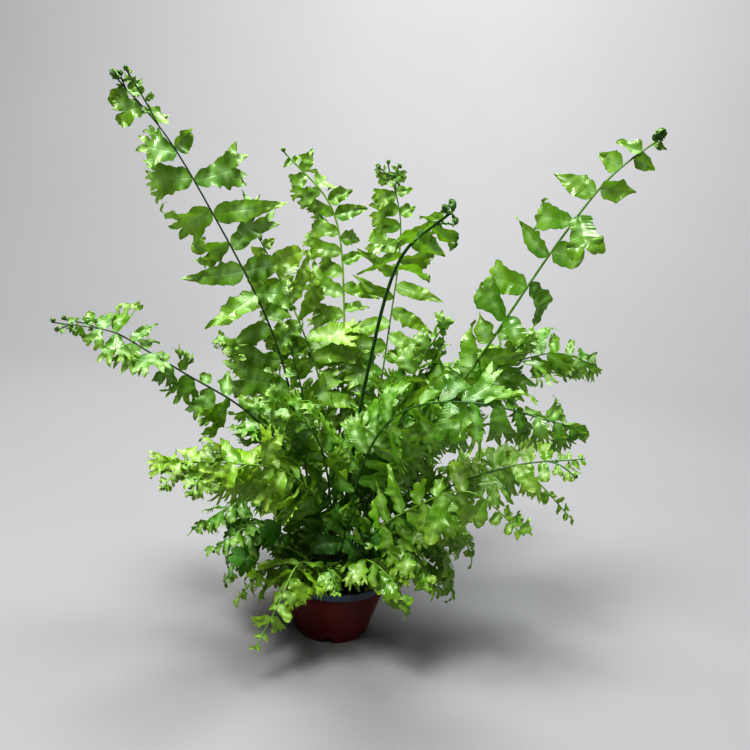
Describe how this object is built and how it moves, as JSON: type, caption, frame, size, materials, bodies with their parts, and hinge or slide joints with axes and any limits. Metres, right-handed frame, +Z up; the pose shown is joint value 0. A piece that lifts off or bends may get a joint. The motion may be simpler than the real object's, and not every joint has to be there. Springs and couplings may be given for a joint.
{
  "type": "potted fern",
  "caption": "Nursery pot with a fishtail fern, whose arching fronds carry wavy forked leaflets and end in young coiled tips, and a little wood sorrel in the compost.",
  "frame": {"origin": "centre of the pot's foot, on the surface that it stands on", "axes": "+Z up along the pot's axis; -Y towards the plant's front; +X to its right as seen from the front"},
  "size_m": [0.3156, 0.2646, 0.3107],
  "materials": {
    "pot_plastic": "satin",
    "compost": "matte",
    "leaf_bright": "satin",
    "leaf_mid": "satin",
    "leaf_deep": "satin",
    "leaf_sorrel": "matte"
  },
  "bodies": {
    "root": {"pot": "pot_plastic", "compost": "compost", "frond_tall_left": "leaf_deep", "frond_tall_right": "leaf_deep", "frond_front_arch": "leaf_deep", "frond_back_left": "leaf_mid", "frond_back_right": "leaf_mid", "frond_low_left": "leaf_mid", "frond_right_fan": "leaf_mid", "frond_right_upper": "leaf_mid", "frond_right_mid": "leaf_bright", "frond_right_droop": "leaf_bright", "frond_lower_right": "leaf_bright", "frond_light_left": "leaf_bright", "frond_mid_left": "leaf_bright", "frond_heart_left": "leaf_mid", "frond_heart_right": "leaf_mid", "frond_fiddlehead": "leaf_mid", "frond_droop_left": "leaf_bright", "frond_small_left": "leaf_mid", "frond_hang_right": "leaf_bright", "frond_low_right": "leaf_bright", "frond_low_front": "leaf_mid", "frond_hang_left": "leaf_mid", "frond_inner_front": "leaf_deep", "frond_inner_left": "leaf_deep", "frond_inner_right": "leaf_deep", "frond_rear_left": "leaf_mid", "frond_rear": "leaf_mid", "frond_rear_right": "leaf_mid", "frond_rear_low_left": "leaf_bright", "frond_rear_low_right": "leaf_bright", "sorrel_leaf_upper": "leaf_sorrel", "sorrel_leaf_lower": "leaf_sorrel", "sorrel_leaf_right": "leaf_sorrel"}
  },
  "joints": []
}
